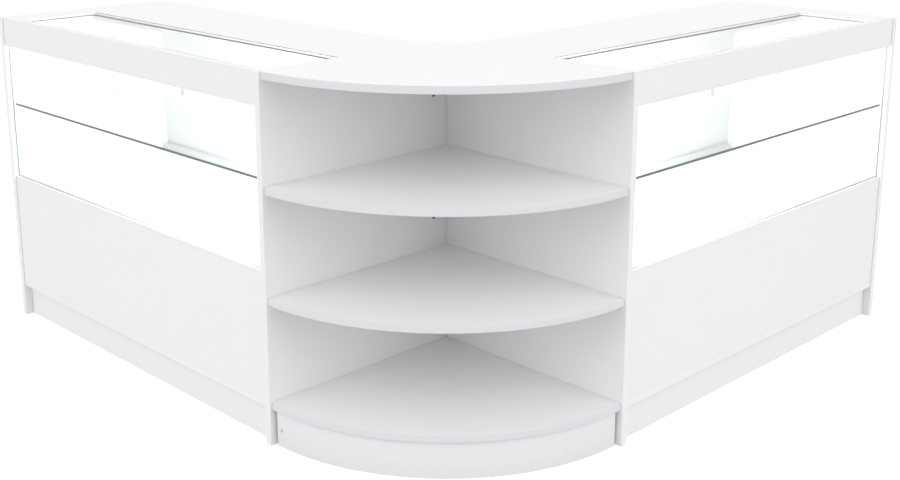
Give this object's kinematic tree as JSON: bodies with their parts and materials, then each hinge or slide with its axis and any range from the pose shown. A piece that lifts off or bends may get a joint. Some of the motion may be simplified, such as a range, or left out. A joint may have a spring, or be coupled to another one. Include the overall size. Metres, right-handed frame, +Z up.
{
  "type": "checkout counter",
  "caption": "L-shaped white retail checkout counter: glass-topped display counters with sliding rear doors, joined by a quarter-round open shelf unit.",
  "frame": {"origin": "centre of the bounding box's underside, on the floor", "axes": "+Z up; the right-hand counter runs along +X with its front facing -Y, the left-hand counter runs along +Y with its front facing -X; the round corner unit is at -X, -Y"},
  "size_m": [1.812, 1.812, 0.9],
  "materials": {
    "white_board": "white melamine facing with matching edging, satin",
    "clear_glass": "clear float glass with polished edges",
    "grey_rubber": "dark grey seal, matt",
    "aluminium": "white powder coated",
    "white_plastic": "white extruded plastic",
    "grey_plastic": "light grey moulded plastic",
    "dark_steel": "dark zinc plated"
  },
  "bodies": {
    "counter": {"corner_left_wall": "white_board", "corner_right_wall": "white_board", "corner_top": "white_board", "corner_upper_shelf": "white_board", "corner_lower_shelf": "white_board", "corner_base": "white_board", "corner_curved_plinth": "white_board", "corner_joint_screw_1": "dark_steel", "corner_joint_screw_2": "dark_steel", "corner_plinth_cap": "white_plastic", "right_end_panel": "white_board", "right_fascia": "white_board", "right_lower_panel": "white_board", "right_base_board": "white_board", "right_plinth": "white_board", "right_rear_plinth": "white_board", "right_front_glass": "clear_glass", "right_top_board": "white_board", "right_glass_batten": "white_board", "right_top_glass": "clear_glass", "right_top_seal": "grey_rubber", "right_display_deck": "white_board", "right_glass_shelf": "clear_glass", "right_shelf_angle_near": "aluminium", "right_shelf_angle_far": "aluminium", "right_divider": "white_board", "right_storage_shelf_near": "white_board", "right_storage_shelf_far": "white_board", "right_lower_track": "white_plastic", "right_upper_track": "white_plastic", "left_end_panel": "white_board", "left_fascia": "white_board", "left_lower_panel": "white_board", "left_base_board": "white_board", "left_plinth": "white_board", "left_rear_plinth": "white_board", "left_front_glass": "clear_glass", "left_top_board": "white_board", "left_glass_batten": "white_board", "left_top_glass": "clear_glass", "left_top_seal": "grey_rubber", "left_display_deck": "white_board", "left_glass_shelf": "clear_glass", "left_shelf_angle_near": "aluminium", "left_shelf_angle_far": "aluminium", "left_divider": "white_board", "left_storage_shelf_near": "white_board", "left_storage_shelf_far": "white_board", "left_lower_track": "white_plastic", "left_upper_track": "white_plastic"},
    "right_near_door": {"right_near_door": "white_board", "right_near_door_pull": "grey_plastic"},
    "right_far_door": {"right_far_door": "white_board", "right_far_door_pull": "grey_plastic"},
    "left_near_door": {"left_near_door": "white_board", "left_near_door_pull": "grey_plastic"},
    "left_far_door": {"left_far_door": "white_board", "left_far_door_pull": "grey_plastic"}
  },
  "joints": [
    {"name": "right_near_door_slide", "type": "slide", "parent": "counter", "child": "right_near_door", "axis": [1, 0, 0], "range_m": [0, 0.576]},
    {"name": "right_far_door_slide", "type": "slide", "parent": "counter", "child": "right_far_door", "axis": [-1, 0, 0], "range_m": [0, 0.576]},
    {"name": "left_near_door_slide", "type": "slide", "parent": "counter", "child": "left_near_door", "axis": [0, 1, 0], "range_m": [0, 0.576]},
    {"name": "left_far_door_slide", "type": "slide", "parent": "counter", "child": "left_far_door", "axis": [0, -1, 0], "range_m": [0, 0.576]}
  ]
}
